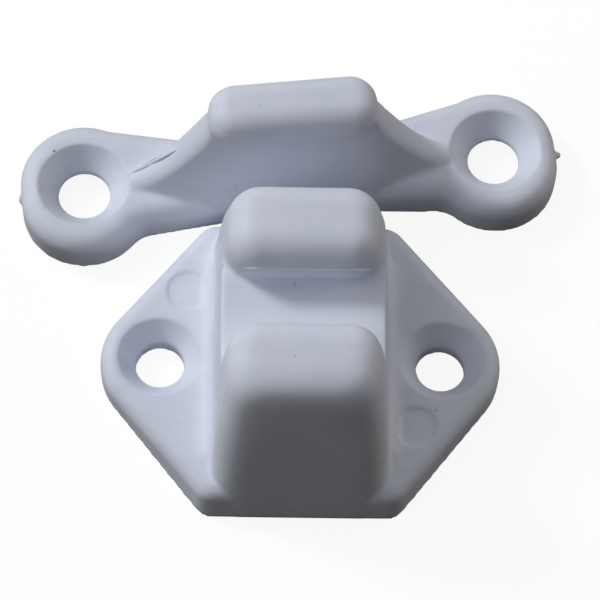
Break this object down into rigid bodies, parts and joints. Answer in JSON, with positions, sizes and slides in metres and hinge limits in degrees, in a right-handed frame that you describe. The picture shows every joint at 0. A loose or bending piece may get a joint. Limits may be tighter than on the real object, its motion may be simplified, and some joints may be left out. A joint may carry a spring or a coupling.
{
  "type": "t-bar door retainer",
  "caption": "White moulded door retainer: a screw-on catch with a channel between padded jaws, and a screw-on striker whose T-bar snaps into the channel.",
  "frame": {"origin": "centre of the catch's plate, on its back face", "axes": "+X along the catch's channel, from one screw to the other; +Z away from the mounting surface; +Y towards the striker that lies beside the catch"},
  "size_m": [0.0563, 0.047, 0.0201],
  "materials": {
    "catch_plastic": "moulded, satin, slightly worn white",
    "striker_plastic": "moulded, satin, slightly worn white"
  },
  "bodies": {
    "root": {"socket_catch": "catch_plastic", "t_bar_striker": "striker_plastic"}
  },
  "joints": []
}
